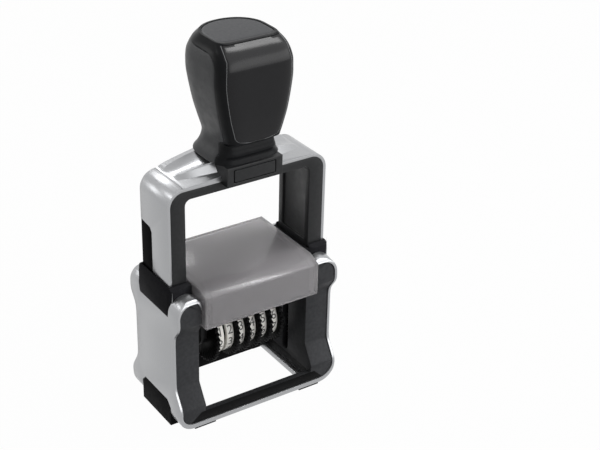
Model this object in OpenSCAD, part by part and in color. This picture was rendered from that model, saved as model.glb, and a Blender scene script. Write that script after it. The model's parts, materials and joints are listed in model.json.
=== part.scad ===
// Self-inking number stamp: a base, a sprung press bracket with a handle, a flip-over print unit
// with six number wheels and bands, and a pull-out ink cartridge under a smoky hood.
// Front is -Y, up is +Z, and the origin lies on the table under the middle of the base.

/* [Base] */
// Outside width of the base
base_w = 68.4; // [66:0.2:84]
// Height of the top of the shoulders
base_h = 56; // [54:0.2:64]
// Depth of the base at its waist
waist_d = 28.2; // [27:0.1:32]
// Depth of the base at its shoulders
shoulder_d = 36.2; // [35:0.2:40]
// Depth of the base at its flared foot
flare_d = 37.8; // [36:0.2:42]
// Depth of the base where it meets the table
sill_d = 34.6; // [33:0.2:38]
// Height of the widest part of the flare
flare_z = 10; // [8:0.1:12]
// Height at which the waist begins
waist_z0 = 17.8; // [16:0.1:22]
// Height at which the waist ends
waist_z1 = 39.8; // [36:0.1:41]
// Height at which the shoulders reach their full depth
shoulder_z = 45.4; // [43:0.1:47]
// Drop of the shoulders' front edge below their top
crest_drop = 1; // [0.6:0.1:3]
// How far that edge lies behind the deepest part
crest_in = 0.6; // [0.2:0.1:2]
// Radius of the base's upper corners, seen from the front
shoulder_r = 5.8; // [5:0.1:8]
// Radius of the shoulders' edge next to the hood
dome_r = 5; // [4:0.1:6]
// Rounding of the bends in the shell, seen from the side
shell_bend = 2.2; // [1:0.1:3]
// Rounding of the bends in the dark bezel
bezel_bend = 0.6; // [0.3:0.1:2]
// Radius of the base's lower corners, seen from the front
foot_r = 6.6; // [5:0.1:8]
// Wall of the silver shell
shell_t = 1.1; // [0.9:0.1:1.5]
// Height of the silver strip under the sill
strip_h = 2.2; // [1.4:0.1:3]
// Depth of that strip at the front and back
strip_d = 1; // [0.8:0.1:1.4]
// How far the dark bezel lies behind the silver rim
bezel_recess = 0.5; // [0.2:0.1:1]
// Height of the sill above the silver strip
sill_h = 4.5; // [3:0.1:6]
// Wall of the sill
sill_t = 1.8; // [1.2:0.1:2.5]
// Width of the silver ledge inside the bottom opening
ledge_in = 1.4; // [0.5:0.1:2]
// Height of the rubber feet below the shell
foot_drop = 0.5; // [0.3:0.1:1]
// Depth of a side foot
side_foot_d = 21.6; // [16:0.2:24]
// Height of a side foot
side_foot_h = 10.4; // [8:0.1:13]
// Chamfer on the upper corners of a side foot
foot_corner = 2.4; // [1:0.1:4]
// Length of a pad under the sill
pad_l = 9; // [5:0.5:12]
// Width of a pad under the sill
sill_pad_w = 1.2; // [0.8:0.1:1.4]

/* [Guides] */
// Wall between the leg channel and the hood
guide_wall = 1.2; // [1:0.1:2]
// Step that the hood rests on
hood_step = 1; // [0.8:0.1:1.6]
// Height of a guide collar
collar_h = 11.6; // [9:0.1:13]
// How far a guide collar stands above the shoulders
collar_rise = 3.2; // [2.6:0.1:6]
// Wall of a guide collar in front of and behind the leg
collar_wall = 1.8; // [1.4:0.1:2.6]
// Bevel round the top of a guide collar
collar_bevel = 1.3; // [0.5:0.1:1.4]
// Height of the slanting band along its outer side
collar_band = 3.6; // [2:0.1:4]
// How much its outer side narrows downwards, at the front and at the back
collar_slant = 1.6; // [0.5:0.1:1.7]
// Width and depth of the facets that turn its front and back towards the hood
collar_facet_w = 3.4; // [2:0.1:5]
collar_facet_d = 1.2; // [0.4:0.1:1.3]
// Chamfer on the outer corners of a guide collar
collar_chamfer = 1.3; // [0.5:0.1:2.2]
// Drop of a guide collar's inner wall below its top
inner_wall_drop = 1.2; // [0.8:0.1:2]
// Floor of the leg channel
channel_floor = 5; // [4:0.1:5.4]

/* [Press bracket] */
// Thickness of a leg across the stamp
leg_t = 7; // [6.6:0.1:8]
// Depth of a leg from front to back
leg_d = 19.8; // [18:0.1:20.4]
// Length of leg below the flip axis
leg_tail = 3.5; // [2.6:0.1:4]
// Thickness of the silver band round the bracket
band_t = 1.1; // [0.8:0.1:1.5]
// Thickness of the dark bar above the opening
bar_t = 3.4; // [2.6:0.1:5]
// Outer corner radius of the bracket
bracket_r = 6.4; // [5:0.1:10]
// Corner radius of the bracket's opening
opening_r = 2.4; // [1.5:0.1:4]
// Space left between bar and hood when the stamp is pressed down
bar_gap = 1.9; // [1:0.1:4]
// Depth of the recess in the inner face of a leg
leg_recess = 0.9; // [0.4:0.1:1.2]
// Width of the flanges beside that recess
leg_flange = 2.6; // [1.5:0.1:4]
// Rise of the silver crown towards the handle
crown_h = 5.2; // [3:0.1:6]
// Height of the dark wear strip above the collar at rest
wear_h = 18.6; // [12:0.2:24]
// Depth of the dark wear strip
wear_d = 7.8; // [5:0.1:9]
// Height of the slant at the top of the wear strip
wear_slant = 2.4; // [1:0.1:4]

/* [Handle] */
// Height of the handle above the saddle
handle_h = 44; // [40:0.2:52]
// Largest width of the handle
grip_w = 30.6; // [27:0.2:33]
// Reach of the handle to the front
grip_front = 17; // [15.5:0.1:18]
// Reach of the handle to the back
grip_rear = 16.4; // [13:0.1:18]
// Width of the handle's neck
neck_w = 20.6; // [18:0.2:23]
// Half depth of the handle's neck
neck_half = 11; // [10:0.1:12]
// Reach of the roll across the front of the neck
roll_front = 13.4; // [12:0.1:14]
// Width of the handle's flared root
root_w = 27.4; // [25:0.2:30]
// Width of the flat top
top_w = 24.4; // [22:0.2:26]
// Front edge of the flat top
top_front = 10.6; // [7:0.1:12]
// Back edge of the flat top
top_rear = 11.2; // [7:0.1:13]
// Rim of the front shell beside the glossy panel
panel_rim = 2.3; // [1.6:0.1:3]
// Thickness of the glossy panel
panel_t = 2; // [1.4:0.1:2.6]
// How far the panel's edges bend back round the front
panel_wrap = 3.2; // [2.8:0.1:3.4]
// Corner of the panel's lower edge
panel_corner = 1.6; // [0.8:0.1:2.4]
// Height of the panel's lower edge above the saddle
panel_z = 9.4; // [8.4:0.1:12]
// Depth of the front shell
front_shell_d = 4.6; // [3.6:0.1:6]
// Height of the cap above the grip
cap_h = 7; // [6:0.1:9]
// Thickness of the satin inlay in the top
inlay_t = 1.2; // [0.8:0.1:2]
// Rim of the cap round the inlay
inlay_rim = 0.9; // [0.5:0.1:1.5]
// Width of the saddle under the handle
saddle_w = 22.6; // [21:0.2:25]
// How much narrower the saddle's back plate is on each side
rear_plate_in = 1.8; // [1:0.1:3]
// How far the saddle's plates stand out from the bar
plate_t = 4; // [3.4:0.1:5]
// How far the saddle's plates reach below the top of the bracket
plate_drop = 1.9; // [1:0.1:3]

/* [Lock button] */
// Width of the lock button
button_w = 16.6; // [12:0.2:18]
// Height of the lock button
button_h = 4.4; // [3.6:0.1:5]
// Thickness of the lock button
button_t = 1.6; // [1.2:0.1:2]
// Travel of the lock button
button_travel = 1.2; // [0.8:0.1:1.4]
// Diameter of the lock button's stem
stem_d = 3; // [2:0.1:3.4]

/* [Ink cartridge] */
// Distance of the hood's lower edge below the shoulders' top
hood_sink = 12.6; // [11:0.1:14]
// Height of the hood
hood_h = 15; // [14.5:0.1:18]
// Depth of the hood
hood_d = 39.6; // [38:0.2:44]
// Wall of the hood
hood_t = 1.3; // [1:0.1:1.6]
// Depth of the slope along the hood's front edge
hood_slope_d = 5; // [2:0.1:6]
// Height of that slope
hood_slope_h = 2.1; // [1:0.1:3]
// Chamfer along the hood's back edge
hood_back_slope = 1.2; // [0.6:0.1:2]
// Space between the hood's ends and the tray
tray_end_gap = 2.2; // [1.4:0.1:3]
// Wall of the pad tray
tray_t = 1.6; // [1.2:0.1:2]
// Height that the tray's front apron stays above the hood's lower edge
apron_rise = 1.1; // [0.4:0.1:2]
// Thickness of the ink pad
ink_pad_t = 4.1; // [3:0.1:5]
// Depth of the ink pad
ink_pad_d = 22; // [16:0.5:26]

/* [Number unit] */
// Step from band to band
band_pitch = 4.8; // [4.6:0.1:5.2]
// Step from the first band to the second
first_pitch = 4.3; // [4.1:0.1:5]
// Width of a number band
band_w = 3; // [2.4:0.1:3]
// Thickness of a number band
band_thick = 1; // [0.7:0.1:1.2]
// Height of the raised figures
type_h = 0.8; // [0.5:0.1:1]
// Depth of the flat printing face
face_d = 4.4; // [3.6:0.1:5]
// Radius of the bridge's edges under the bands
nose_r = 1.5; // [1:0.1:2]
// Distance from the flip axis to the printing face
type_reach = 10; // [9:0.1:10.6]
// Distance from the flip axis to the wheel axle
wheel_drop = 11.6; // [11:0.1:12.5]
// Radius of the white figure rings
ring_r = 9.6; // [9:0.1:11.4]
// Thickness of the white figure rings
ring_t = 1.6; // [1:0.1:2.4]
// Radius of the serrated setting wheels
wheel_r = 12.1; // [11.8:0.1:12.6]
// Width of a setting wheel's serrated edge
disc_w = 1.4; // [1:0.1:1.4]
// Number of serrations
teeth = 36; // [24:1:44]
// Depth of the serrations
tooth_h = 0.8; // [0.4:0.1:1]
// Diameter of the wheel axle
axle_d = 3; // [2.4:0.1:3.6]
// Thickness of a carriage cheek
cheek_t = 2.4; // [1.8:0.1:2.8]
// Half depth of a carriage cheek
cheek_half = 4.8; // [4:0.1:6]
// Diameter of the boss round a trunnion
boss_d = 8; // [7:0.1:9]
// Diameter of a trunnion
trunnion_d = 3; // [2.4:0.1:3.2]
// Depth of a trunnion in its leg
trunnion_in = 3.2; // [2.4:0.1:3.4]
// Distance from the flip axis to the follower pins
follower_reach = 6.4; // [6:0.1:7]
// Diameter of a follower pin
follower_d = 2.4; // [2:0.1:2.6]
// Depth of a follower pin in its track
follower_in = 0.9; // [0.6:0.1:1]

/* [Return springs] */
// Mean radius of a spring
spring_r = 2; // [1.6:0.1:2.1]
// Wire of a spring
spring_wire = 0.6; // [0.4:0.1:0.7]
// Number of turns of a spring
spring_turns = 16; // [12:1:22]
// Distance of a spring from the middle of its leg
spring_y = 5.6; // [5.2:0.1:6.2]
// Wall left above a spring inside its leg
spring_cap = 0.8; // [0.5:0.1:2]

/* [Clearances] */
// Gap between pieces that are fixed together
fit = 0.05; // [0.02:0.01:0.1]
// Gap between pieces that slide past each other
run = 0.3; // [0.25:0.05:0.4]
// Gap round a pin that turns in its bore
pin_run = 0.05; // [0.02:0.01:0.08]

/* [Hidden] */
$fn = 48;
over = 1;
bend_steps = 4;

// Widths across the stamp, from the outside in
base_half = base_w / 2;
cavity_out = base_half - shell_t;
leg_out = cavity_out - run;
leg_in = leg_out - leg_t;
channel_in = leg_in - run;
hood_side = channel_in - guide_wall;
hood_half = hood_side - run;
inner_half = hood_side - hood_step;
tray_half = hood_half - hood_t - tray_end_gap;

// Heights of the ink cartridge and of the flip
hood_z0 = base_h - hood_sink;
hood_z1 = hood_z0 + hood_h;
hood_ledge = hood_z0 - run;
tray_z1 = hood_z1 - hood_t - fit;
pad_z1 = tray_z1 - tray_t - fit;
pad_z0 = pad_z1 - ink_pad_t;
type_top = pad_z0 - run;
flip_z = type_top - type_reach;
stroke = flip_z - type_reach;
rear_edge_z = type_top + 2 * run;

// Depths of the guides
channel_half = leg_d / 2 + run;
collar_half = channel_half + collar_wall;
collar_z1 = base_h + collar_rise;
collar_z0 = collar_z1 - collar_h;

// Heights of the press bracket
leg_z0 = flip_z - leg_tail;
bar_z0 = hood_z1 + stroke + bar_gap;
bar_z1 = bar_z0 + bar_t;
bracket_z1 = bar_z1 + fit + band_t;
frame_out = leg_out - band_t - fit;
saddle_half = saddle_w / 2;
saddle_z0 = bracket_z1 + fit;
saddle_z1 = bracket_z1 + crown_h + fit;
plate_half = leg_d / 2 + plate_t;
plate_z0 = bracket_z1 - plate_drop;
button_z = (plate_z0 + saddle_z1) / 2;
crown_x0 = saddle_half + fit;
crown_x1 = leg_out - bracket_r;
recess_z0 = collar_z1 + over;

// Heights of the handle
handle_z0 = saddle_z1 + fit;
handle_z1 = handle_z0 + handle_h;
cap_z = handle_z1 - cap_h;
panel_z0 = handle_z0 + panel_z;

// Places of the number unit
wheel_z = flip_z - wheel_drop;
bands = 6;
band_span = first_pitch + (bands - 2) * band_pitch;
band_x = [for (i = [0:bands - 1]) i == 0 ? -band_span / 2 : band_span / 2 - (bands - 1 - i) * band_pitch];
strap_w = band_w - 2 * run;
cheek_in = band_span / 2 + band_w / 2 + disc_w + run;
cheek_out = cheek_in + cheek_t;
boss_out = hood_half - hood_t - 3 * run;
nose_y = face_d / 2;
nose_z = type_top - type_h - band_thick - nose_r;
cheek_z1 = nose_z + nose_r - run;

// Places of the return springs
spring_x = (frame_out + leg_in) / 2;
spring_bore_r = spring_r + spring_wire / 2 + run;
spring_z1 = recess_z0 - spring_cap;

// A line through points, with its inner corners rounded over a distance
function toward(a, b, t) = a + (b - a) * t;
function near(a, b, d) = toward(a, b, min(0.45, d / norm(b - a)));
function bend(a, b, c, t) = toward(toward(a, b, t), toward(b, c, t), t);
function rounded(line, d) = concat(
    [line[0]],
    [for (i = [1:len(line) - 2], k = [0:bend_steps])
        bend(near(line[i], line[i - 1], d), line[i], near(line[i], line[i + 1], d), k / bend_steps)],
    [line[len(line) - 1]]);
function spread(z0, z1, n) = [for (i = [1:n]) z0 + (z1 - z0) * i / n];

// Outline of the base from the side: half depth and height, from the table up
crest = [shoulder_d / 2 - crest_in, base_h - crest_drop];
crest_top = [collar_half, base_h];
past = 1.3;
function side_line(inset, d) = rounded([
    [sill_d / 2 - inset, 0], [flare_d / 2 - inset, flare_z], [waist_d / 2 - inset, waist_z0],
    [waist_d / 2 - inset, waist_z1], [shoulder_d / 2 - inset, shoulder_z],
    crest - [inset, 0], toward(crest, crest_top, past) - [inset, 0]], d);
function both_ways(line) = concat(line, [for (i = [len(line) - 1:-1:0]) [-line[i][0], line[i][1]]]);

// Smooth curve through knots whose first column is the height
function knot_at(knots, z, i = 0) = i + 2 >= len(knots) || z < knots[i + 1][0] ? i : knot_at(knots, z, i + 1);
function slope(knots, c, i) =
    let (a = max(i - 1, 0), b = min(i + 1, len(knots) - 1))
    (knots[b][c] - knots[a][c]) / (knots[b][0] - knots[a][0]);
function smooth(knots, c, z) =
    let (i = knot_at(knots, z), h = knots[i + 1][0] - knots[i][0], t = (z - knots[i][0]) / h)
    (2 * t^3 - 3 * t^2 + 1) * knots[i][c] + (t^3 - 2 * t^2 + t) * h * slope(knots, c, i)
    + (3 * t^2 - 2 * t^3) * knots[i + 1][c] + (t^3 - t^2) * h * slope(knots, c, i + 1);

// Handle: height, half width, reach to the front and reach to the back
grip_half = grip_w / 2;
neck_x = neck_w / 2;
root_x = root_w / 2;
neck_front = toward(neck_half, roll_front, 0.4);
handle_knots = [
    [0, root_x, neck_half, plate_half - fit],
    [0.18 * panel_z, toward(root_x, neck_x, 0.4), neck_half, toward(plate_half, neck_half, 0.4)],
    [0.36 * panel_z, toward(root_x, neck_x, 0.68), roll_front, toward(plate_half, neck_half, 0.68)],
    [0.54 * panel_z, toward(root_x, neck_x, 0.88), neck_front, toward(plate_half, neck_half, 0.86)],
    [0.75 * panel_z, toward(neck_x, grip_half, 0.05), neck_front, toward(plate_half, neck_half, 0.97)],
    [0.92 * panel_z, toward(neck_x, grip_half, 0.18), toward(neck_half, grip_front, 0.74),
        toward(neck_half, grip_rear, 0.03)],
    [panel_z, toward(neck_x, grip_half, 0.24), toward(neck_half, grip_front, 0.78),
        toward(neck_half, grip_rear, 0.06)],
    [0.43 * handle_h, toward(neck_x, grip_half, 0.66), toward(neck_half, grip_front, 0.94),
        toward(neck_half, grip_rear, 0.5)],
    [0.66 * handle_h, toward(neck_x, grip_half, 0.98), grip_front, toward(neck_half, grip_rear, 0.94)],
    [0.76 * handle_h, grip_half, grip_front, grip_rear],
    [handle_h - cap_h, toward(grip_half, top_w / 2, 0.08), toward(grip_front, top_front, 0.06),
        toward(grip_rear, top_rear, 0.12)],
    [handle_h - 0.4 * cap_h, toward(grip_half, top_w / 2, 0.45), toward(grip_front, top_front, 0.45),
        toward(grip_rear, top_rear, 0.5)],
    [handle_h, top_w / 2, top_front, top_rear]];
front_power = 7;
rear_power = 2.6;
top_power = 2.1;
handle_sides = 40;
handle_levels = concat(
    [0],
    spread(0, panel_z, 11),
    spread(panel_z, handle_h - cap_h, 8),
    spread(handle_h - cap_h, handle_h, 5));
function power(v, p) = sign(v) * pow(abs(v), p);
function rear_power_at(z) = toward(rear_power, top_power, max(0, 1 - (handle_h - z) / cap_h));
function handle_point(z, angle, inset) =
    let (s = sin(angle), p = 2 / (s < 0 ? front_power : rear_power_at(z)))
    [(smooth(handle_knots, 1, z) - inset) * power(cos(angle), p),
     (smooth(handle_knots, s < 0 ? 2 : 3, z) - inset) * power(s, p),
     handle_z0 + z];

module along_x(length) {
    rotate([90, 0, 90])
        linear_extrude(length, center = true)
            children();
}

module along_y(length) {
    rotate([90, 0, 0])
        linear_extrude(length, center = true)
            children();
}

module both_sides() {
    children();
    mirror([1, 0, 0])
        children();
}

// What a shape and its mirror image from front to back have in common
module for_both_ends() {
    intersection() {
        children();
        mirror([0, 1, 0])
            children();
    }
}

module on_side(side) {
    scale([side, 1, 1])
        children();
}

// A box between two corners
module block(low, high) {
    translate(low)
        cube(high - low);
}

module pin_x(x0, x1, y, z, r) {
    translate([x0, y, z])
        rotate([0, 90, 0])
            cylinder(h = x1 - x0, r = r);
}

module pin_y(y0, y1, x, z, r) {
    translate([x, y1, z])
        rotate([90, 0, 0])
            cylinder(h = y1 - y0, r = r);
}

// Rectangle with round corners, wider radii below than above or the other way round
module round_corners(half, z0, z1, r0, r1) {
    translate([-half, z0 + r0])
        square([2 * half, z1 - z0 - r0 - r1]);
    translate([r0 - half, z0])
        square([2 * (half - r0), r0]);
    translate([r1 - half, z1 - r1])
        square([2 * (half - r1), r1]);
    for (s = [-1, 1]) {
        translate([s * (half - r0), z0 + r0])
            circle(r0);
        translate([s * (half - r1), z1 - r1])
            circle(r1);
    }
}

module base_front_outline(inset, low) {
    round_corners(base_half - inset, low, base_h - inset, foot_r - inset, shoulder_r - inset);
}

// The same, with shoulders that also round off towards the hood
module domed_outline(inset, low) {
    dome_x = base_half - shoulder_r;
    difference() {
        base_front_outline(inset, low);
        both_sides()
            difference() {
                translate([0, base_h - dome_r])
                    square([dome_x, dome_r + over]);
                translate([dome_x, base_h - dome_r])
                    circle(dome_r - inset);
            }
    }
}

// The base from the front, extruded, with shoulders that fall towards the front and back
module base_form(inset, low) {
    fall = atan2(crest_top[1] - crest[1], crest[0] - crest_top[0]);
    intersection() {
        along_y(2 * flare_d)
            domed_outline(inset, low);
        for_both_ends()
            translate([0, collar_half, base_h])
                rotate([-fall, 0, 0])
                    translate([0, 0, -base_h])
                        along_y(4 * flare_d)
                            base_front_outline(inset, -base_h);
    }
}

// Space inside the shell, open to the front and back
module base_void(gap) {
    base_form(shell_t + gap, foot_drop + strip_h + gap);
}

// What the hood and the guide collars take out of the top of the base
module base_top_cut() {
    block([-hood_side, -flare_d, hood_ledge], [hood_side, flare_d, base_h + over]);
    block([-cavity_out, -collar_half - fit, collar_z0 - fit], [cavity_out, collar_half + fit, base_h + over]);
    collar_window(fit);
}

// Opening of the silver sides for the guide collars, narrower at its lower edge
module collar_window(gap) {
    half = collar_half + gap;
    low = half - collar_slant;
    top = collar_z1 + over;
    along_x(2 * base_w)
        polygon([[-low, collar_z0 - gap], [low, collar_z0 - gap], [half, base_h], [half, top],
            [-half, top], [-half, base_h]]);
}

module outer_shell() {
    color("silver")
        difference() {
            intersection() {
                base_form(0, foot_drop);
                along_x(2 * base_w)
                    polygon(both_ways(side_line(0, shell_bend)));
            }
            base_void(0);
            base_top_cut();
            both_sides()
                side_foot_form(fit);
            block([ledge_in - inner_half, strip_d - sill_d / 2, -over],
                [inner_half - ledge_in, sill_d / 2 - strip_d, strip_h + over]);
        }
}

// Lower corner of a side that the rubber foot fills
module side_foot_form(gap) {
    half = side_foot_d / 2 + gap;
    top = side_foot_h + gap;
    intersection() {
        block([base_half - foot_r - gap, -base_w, -over], [base_half + over, base_w, base_h]);
        along_x(4 * base_w)
            polygon([[-half, -over], [-half, top - foot_corner], [foot_corner - half, top],
                [half - foot_corner, top], [half, top - foot_corner], [half, -over]]);
    }
}

// Track of a follower pin in the base while the print unit flips
function track_point(angle, offset) =
    let (y = follower_reach * sin(angle),
        z = flip_z - stroke * angle / 180 - follower_reach * cos(angle),
        dy = follower_reach * cos(angle),
        dz = follower_reach * sin(angle) - stroke / PI,
        d = norm([dy, dz]))
    [y - offset * dz / d, z + offset * dy / d];
track_half = follower_d / 2 + run;
track_step = 10;

module follower_track() {
    polygon(concat(
        [for (a = [0:track_step:180]) track_point(a, track_half)],
        [for (a = [180:-track_step:0]) track_point(a, -track_half)]));
}

module trunnion_slot() {
    slot_r = trunnion_d / 2 + run;
    block([0, -slot_r, flip_z - stroke], [channel_in + over, slot_r, flip_z]);
    pin_x(0, channel_in + over, 0, flip_z, slot_r);
    pin_x(0, channel_in + over, 0, flip_z - stroke, slot_r);
}

// Lips of the sill behind the silver strip
module sill_lips() {
    half = inner_half - ledge_in - fit;
    outer = sill_d / 2 - strip_d - fit;
    for (s = [-1, 1])
        scale([1, s, 1])
            block([-half, sill_d / 2 - sill_t, foot_drop], [half, outer, foot_drop + strip_h + over]);
}

module inner_frame() {
    track_depth = follower_in + run;
    color("dimgray") {
        sill_lips();
        difference() {
            intersection() {
                base_void(fit);
                along_x(2 * base_w)
                    polygon(both_ways(side_line(bezel_recess, bezel_bend)));
            }
            base_top_cut();
            block([-inner_half, -flare_d, foot_drop + strip_h + sill_h], [inner_half, flare_d, base_h]);
            block([-inner_half, sill_t - sill_d / 2, 0], [inner_half, sill_d / 2 - sill_t, base_h]);
            both_sides() {
                block([channel_in, -channel_half, channel_floor], [base_half, channel_half, base_h]);
                trunnion_slot();
                translate([inner_half + track_depth / 2 - over / 2, 0, 0])
                    along_x(track_depth + over)
                        follower_track();
            }
        }
    }
}

// Guide collar round the mouth of a leg channel
module guide_collar(side) {
    wide = base_half - hood_side;
    color("#26282b")
        on_side(side)
            difference() {
                intersection() {
                    translate([0, 0, collar_z0])
                        linear_extrude(collar_h)
                            polygon([
                                [hood_side, collar_facet_d - collar_half],
                                [hood_side + collar_facet_w, -collar_half],
                                [base_half - collar_chamfer, -collar_half],
                                [base_half, collar_chamfer - collar_half], [base_half, collar_half - collar_chamfer],
                                [base_half - collar_chamfer, collar_half],
                                [hood_side + collar_facet_w, collar_half],
                                [hood_side, collar_half - collar_facet_d]]);
                    translate([hood_side + wide / 2, 0, 0])
                        along_x(wide + over)
                            polygon([
                                [-collar_half, collar_z0], [collar_half, collar_z0],
                                [collar_half, collar_z1 - collar_bevel],
                                [collar_half - collar_bevel, collar_z1],
                                [collar_bevel - collar_half, collar_z1],
                                [-collar_half, collar_z1 - collar_bevel]]);
                    along_y(2 * flare_d)
                        polygon([
                            [hood_side, collar_z0], [base_half, collar_z0],
                            [base_half, collar_z1 - collar_band],
                            [cavity_out + run, collar_z1], [hood_side, collar_z1]]);
                    union() {
                        block([hood_side, -flare_d, collar_z0], [cavity_out - fit, flare_d, collar_z1]);
                        collar_window(0);
                    }
                }
                block([channel_in, -channel_half, 0], [cavity_out, channel_half, collar_z1 + over]);
                block([0, -flare_d, collar_z1 - inner_wall_drop], [channel_in + fit, flare_d, collar_z1 + over]);
            }
}

// Rubber foot that squares off the lower corner of a side
module side_foot(side) {
    color("#1c1d1f")
        on_side(side)
            difference() {
                intersection() {
                    side_foot_form(0);
                    block([0, -flare_d, 0], [base_half, flare_d, base_h]);
                }
                along_y(2 * flare_d)
                    base_front_outline(shell_t, foot_drop + strip_h);
            }
}

// Small pad under the silver strip
module sill_pad(side, front) {
    edge = sill_d / 2;
    corner = base_half - foot_r;
    color("#1c1d1f")
        scale([side, front, 1])
            block([corner - pad_l, edge - sill_pad_w, 0], [corner, edge, foot_drop - fit / 2]);
}

// The bracket's dark inner frame, a bent bar with two legs
module bracket_frame() {
    color("#2b2d30")
        difference() {
            along_y(leg_d)
                difference() {
                    round_corners(frame_out, leg_z0, bar_z1, fit, bracket_r - band_t - fit);
                    round_corners(leg_in, leg_z0 - bar_z1, bar_z0, opening_r, opening_r);
                }
            both_sides()
                block([leg_in - over, leg_flange - leg_d / 2, recess_z0],
                    [leg_in + leg_recess, leg_d / 2 - leg_flange, bar_z0 - opening_r]);
            for (s = [-1, 1])
                translate([s * spring_x, s * spring_y, leg_z0 - over])
                    cylinder(h = spring_z1 - leg_z0 + over, r = spring_bore_r);
            both_sides()
                pin_x(leg_in - over, leg_in + trunnion_in + run, 0, flip_z, trunnion_d / 2 + pin_run);
        }
}

// Cut in the silver band for a wear strip, and the strip's own outline with a gap
module wear_outline(gap) {
    top = collar_z1 + wear_h - gap;
    back = leg_d / 2 + over;
    front = leg_d / 2 - wear_d + gap;
    polygon([[front, leg_z0 - over], [back, leg_z0 - over], [back, top],
        [front + wear_slant / 2, top - wear_slant / 3], [front, top - wear_slant]]);
}

// Creases of a crown, from front to back: share of the half depth at the saddle and at the
// corner, share of the rise at the saddle, and how the rise falls off towards the corner
crown_lines = [
    [-1, -1, 0.25, 1], [-0.95, -0.4, 0.6, 1.4], [-0.56, -0.16, 0.86, 1], [-0.54, -0.14, 0.94, 1],
    [0.6, 0.65, 1, 0.6], [1, 1, 0.7, 0.8]];
crown_steps = 8;
crown_end = 0.05;
function crown_ring(t) =
    let (x = toward(crown_x0, crown_x1, t), y = leg_d / 2, low = bracket_z1 + fit)
    concat(
        [for (line = crown_lines)
            [x, y * toward(line[0], line[1], t),
             low + (crown_h - 2 * fit) * line[2] * max(pow(1 - t, line[3]), crown_end)]],
        [[x, y, low], [x, -y, low]]);

// Silver crown that rises along the top of the bracket to the saddle
module crown(side) {
    n = len(crown_lines) + 2;
    points = [for (i = [0:crown_steps], p = crown_ring(i / crown_steps)) p];
    sides = [for (i = [0:crown_steps - 1], k = [0:n - 1], half = [0, 1])
        let (m = (k + 1) % n)
        half == 0 ? [i * n + k, i * n + m, (i + 1) * n + k] : [i * n + m, (i + 1) * n + m, (i + 1) * n + k]];
    near_end = [[for (k = [n - 1:-1:0]) k]];
    far_end = [[for (k = [0:n - 1]) crown_steps * n + k]];
    color("silver")
        on_side(side)
            polyhedron(points, concat(sides, near_end, far_end));
}

module bracket_shell() {
    color("silver")
        difference() {
            along_y(leg_d)
                difference() {
                    round_corners(leg_out, leg_z0, bracket_z1, fit, bracket_r);
                    round_corners(frame_out + fit, leg_z0 - bar_z1, bar_z1 + fit, opening_r, bracket_r - band_t);
                }
            along_x(2 * base_w)
                wear_outline(0);
        }
}

module wear_strip(side) {
    mid = (frame_out + leg_out) / 2;
    color("#17181a")
        on_side(side)
            intersection() {
                translate([mid, 0, 0])
                    along_x(band_t - 2 * fit)
                        wear_outline(fit);
                block([0, -leg_d / 2, leg_z0], [base_w, leg_d / 2 - fit, bracket_z1]);
            }
}

// Saddle that carries the handle astride the bracket, round at the back as the handle is
saddle_step = 7.5;
module saddle() {
    pocket_y = button_t + button_travel + run;
    rear_half = saddle_half - rear_plate_in;
    color("#232528")
        difference() {
            intersection() {
                union() {
                    block([-saddle_half, -plate_half, saddle_z0], [saddle_half, plate_half, saddle_z1]);
                    block([-saddle_half, -plate_half, plate_z0], [saddle_half, -leg_d / 2 - fit, saddle_z1]);
                    block([-rear_half, leg_d / 2 + fit, plate_z0], [rear_half, plate_half, saddle_z1]);
                }
                linear_extrude(handle_z1)
                    polygon(concat(
                        [[root_x, -plate_half]],
                        [for (a = [0:saddle_step:180])
                            let (p = handle_point(0, a, 0))
                            [p[0], p[1]]],
                        [[-root_x, -plate_half]]));
            }
            block([-button_w / 2 - run, -plate_half - over, button_z - button_h / 2 - run],
                [button_w / 2 + run, pocket_y - plate_half, button_z + button_h / 2 + run]);
            pin_y(-plate_half, leg_d / 4, 0, button_z, stem_d / 2 + pin_run);
        }
}

module lock_button() {
    color("#1d1f21") {
        block([-button_w / 2, -plate_half, button_z - button_h / 2],
            [button_w / 2, button_t - plate_half, button_z + button_h / 2]);
        pin_y(button_t - plate_half - fit, 0, 0, button_z, stem_d / 2);
    }
}

// Body of the handle: D-shaped sections, flat in front, through the knots above
module handle_form(inset) {
    n = handle_sides;
    rows = len(handle_levels);
    points = [for (z = handle_levels, i = [0:n - 1]) handle_point(z, 360 * i / n, inset)];
    side_faces = [for (r = [0:rows - 2], i = [0:n - 1], half = [0, 1])
        let (j = (i + 1) % n)
        half == 0 ? [r * n + i, (r + 1) * n + i, r * n + j] : [r * n + j, (r + 1) * n + i, (r + 1) * n + j]];
    low_cap = [[for (i = [0:n - 1]) i]];
    high_cap = [[for (i = [n - 1:-1:0]) (rows - 1) * n + i]];
    polyhedron(points, concat(side_faces, low_cap, high_cap));
}

// Strip along the front of the handle, as deep as asked, up to a height
module front_strip(depth, top) {
    reach = grip_front + grip_rear;
    levels = [for (z = handle_levels) if (z <= top) z];
    last = levels[len(levels) - 1];
    polygon(concat(
        [[-reach, handle_z0 - over], [depth - smooth(handle_knots, 2, 0), handle_z0 - over]],
        [for (z = levels) [depth - smooth(handle_knots, 2, z), handle_z0 + z]],
        [[depth - smooth(handle_knots, 2, last), handle_z0 + last + over], [-reach, handle_z0 + last + over]]));
}

// Side outline of the front shell and cap: a strip along the front, and the top
module shell_side_outline(gap) {
    reach = grip_front + grip_rear;
    front_strip(front_shell_d + gap, handle_h - cap_h);
    translate([-reach, cap_z - gap])
        square([2 * reach, cap_h + gap + over]);
}

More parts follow.
